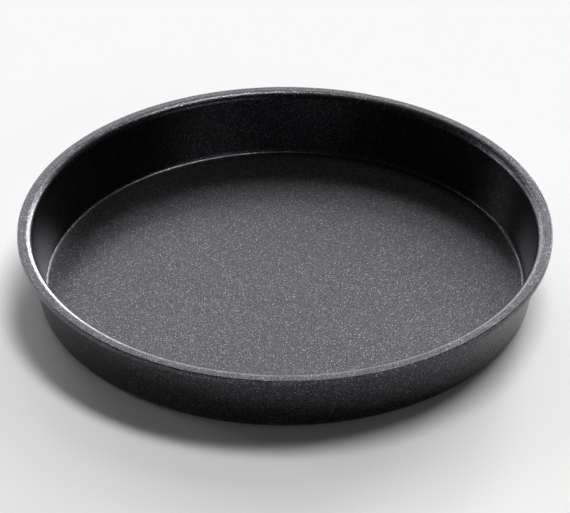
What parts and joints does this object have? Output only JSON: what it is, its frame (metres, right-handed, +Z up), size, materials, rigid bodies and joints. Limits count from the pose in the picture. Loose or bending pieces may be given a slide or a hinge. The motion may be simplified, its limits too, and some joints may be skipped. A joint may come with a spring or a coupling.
{
  "type": "round baking dish",
  "caption": "Shallow round oven dish of one piece, with leaning walls, a rolled lip and a narrow flat rim, coated all over in dark speckled non-stick.",
  "frame": {"origin": "centre of the underside, on the surface that the dish stands on", "axes": "+Z up along the axis of revolution, out of the open mouth; X and Y are level and interchangeable, as the dish is round"},
  "size_m": [0.29, 0.29, 0.0382],
  "materials": {
    "non_stick_coating": "satin charcoal non-stick coating with a fine light fleck, on aluminium"
  },
  "bodies": {
    "root": {"dish_body": "non_stick_coating"}
  },
  "joints": []
}
